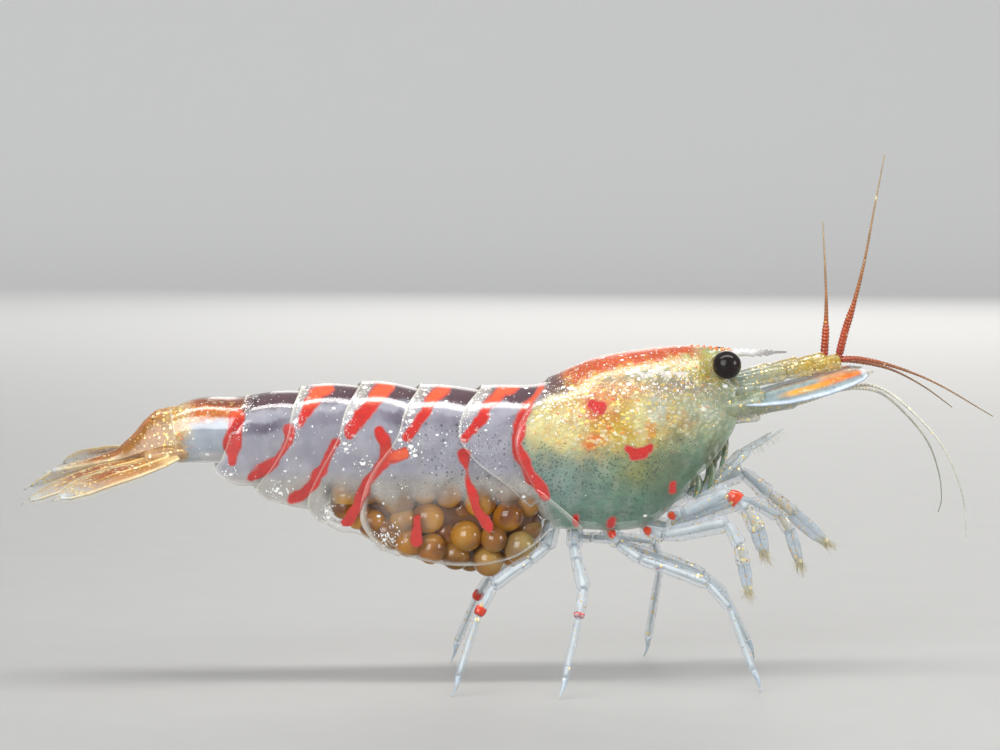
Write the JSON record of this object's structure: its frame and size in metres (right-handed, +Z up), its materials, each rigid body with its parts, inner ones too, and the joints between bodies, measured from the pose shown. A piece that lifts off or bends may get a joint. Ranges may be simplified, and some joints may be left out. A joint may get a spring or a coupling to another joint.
{
  "type": "dwarf shrimp model",
  "caption": "Life-size still model of a striped, egg-carrying freshwater dwarf shrimp standing on its walking legs.",
  "frame": {"origin": "on the floor, under the middle of the animal's bounding box", "axes": "+X towards the head along the body, +Y to the animal's left, +Z up"},
  "size_m": [0.0366, 0.0118, 0.02],
  "materials": {
    "abdomen_shell": "translucent grey-lavender shell with red stripes",
    "head_shell": "translucent grey-green shell with gold, yellow and red pigment",
    "tail_fan": "clear amber blades with gold specks and a hair fringe",
    "limbs": "glassy limbs with red joints",
    "feelers": "ringed orange-red feelers that fade to pale tips",
    "eye": "glossy black",
    "eggs": "wet amber eggs"
  },
  "bodies": {
    "root": {"carapace": "head_shell", "egg_clutch": "eggs", "telson": "tail_fan", "abdomen_1": "abdomen_shell", "abdomen_2": "abdomen_shell", "abdomen_3": "abdomen_shell", "abdomen_4": "abdomen_shell", "abdomen_5": "abdomen_shell", "abdomen_6": "abdomen_shell", "maxilliped_right": "limbs", "maxilliped_left": "limbs", "cheliped_1_right": "limbs", "cheliped_1_left": "limbs", "cheliped_2_right": "limbs", "cheliped_2_left": "limbs", "leg_3_right": "limbs", "leg_3_left": "limbs", "leg_4_right": "limbs", "leg_4_left": "limbs", "leg_5_right": "limbs", "leg_5_left": "limbs", "antennule_base_right": "head_shell", "antennule_base_left": "head_shell", "antennule_outer_right": "feelers", "antennule_outer_left": "feelers", "antennule_inner_right": "feelers", "antennule_inner_left": "feelers", "antenna_base_right": "head_shell", "antenna_base_left": "head_shell", "antenna_scale_right": "head_shell", "antenna_scale_left": "head_shell", "antenna_feeler_right": "feelers", "antenna_feeler_left": "feelers", "uropod_inner_right": "tail_fan", "uropod_inner_left": "tail_fan", "uropod_outer_right": "tail_fan", "uropod_outer_left": "tail_fan", "eye_right": "eye", "eye_left": "eye", "eyestalk_right": "head_shell", "eyestalk_left": "head_shell", "swimmeret_1_right": "limbs", "swimmeret_1_left": "limbs", "swimmeret_2_right": "limbs", "swimmeret_2_left": "limbs", "swimmeret_3_right": "limbs", "swimmeret_3_left": "limbs", "swimmeret_4_right": "limbs", "swimmeret_4_left": "limbs", "swimmeret_5_right": "limbs", "swimmeret_5_left": "limbs"}
  },
  "joints": []
}
